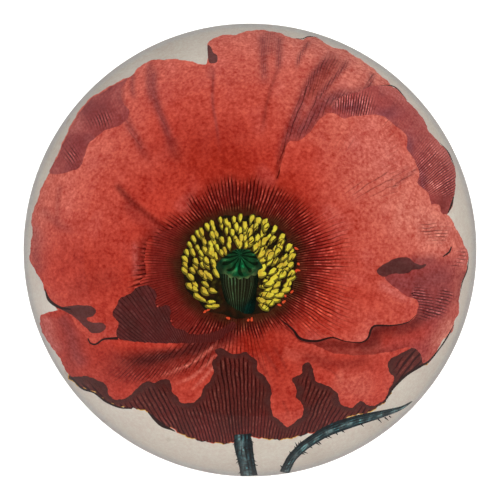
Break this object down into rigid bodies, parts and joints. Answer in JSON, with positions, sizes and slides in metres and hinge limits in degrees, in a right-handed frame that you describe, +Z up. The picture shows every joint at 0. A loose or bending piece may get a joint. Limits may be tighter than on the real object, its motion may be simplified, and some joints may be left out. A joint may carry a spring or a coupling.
{
  "type": "glass dome paperweight",
  "caption": "Solid clear glass dome with a botanical poppy print glued face up under its flat base, standing on a felt pad.",
  "frame": {"origin": "centre of the felt pad's underside, on the surface that the weight stands on", "axes": "+Z up, from the felt through the dome's crown; the picture's stem points to -Y and its right side to +X"},
  "size_m": [0.089, 0.089, 0.038],
  "materials": {
    "clear_glass": "clear, fire-polished",
    "printed_paper": "matt, printed and hand coloured",
    "felt": "pressed wool felt"
  },
  "bodies": {
    "root": {"glass_dome": "clear_glass", "poppy_print": "printed_paper", "felt_pad": "felt"}
  },
  "joints": []
}
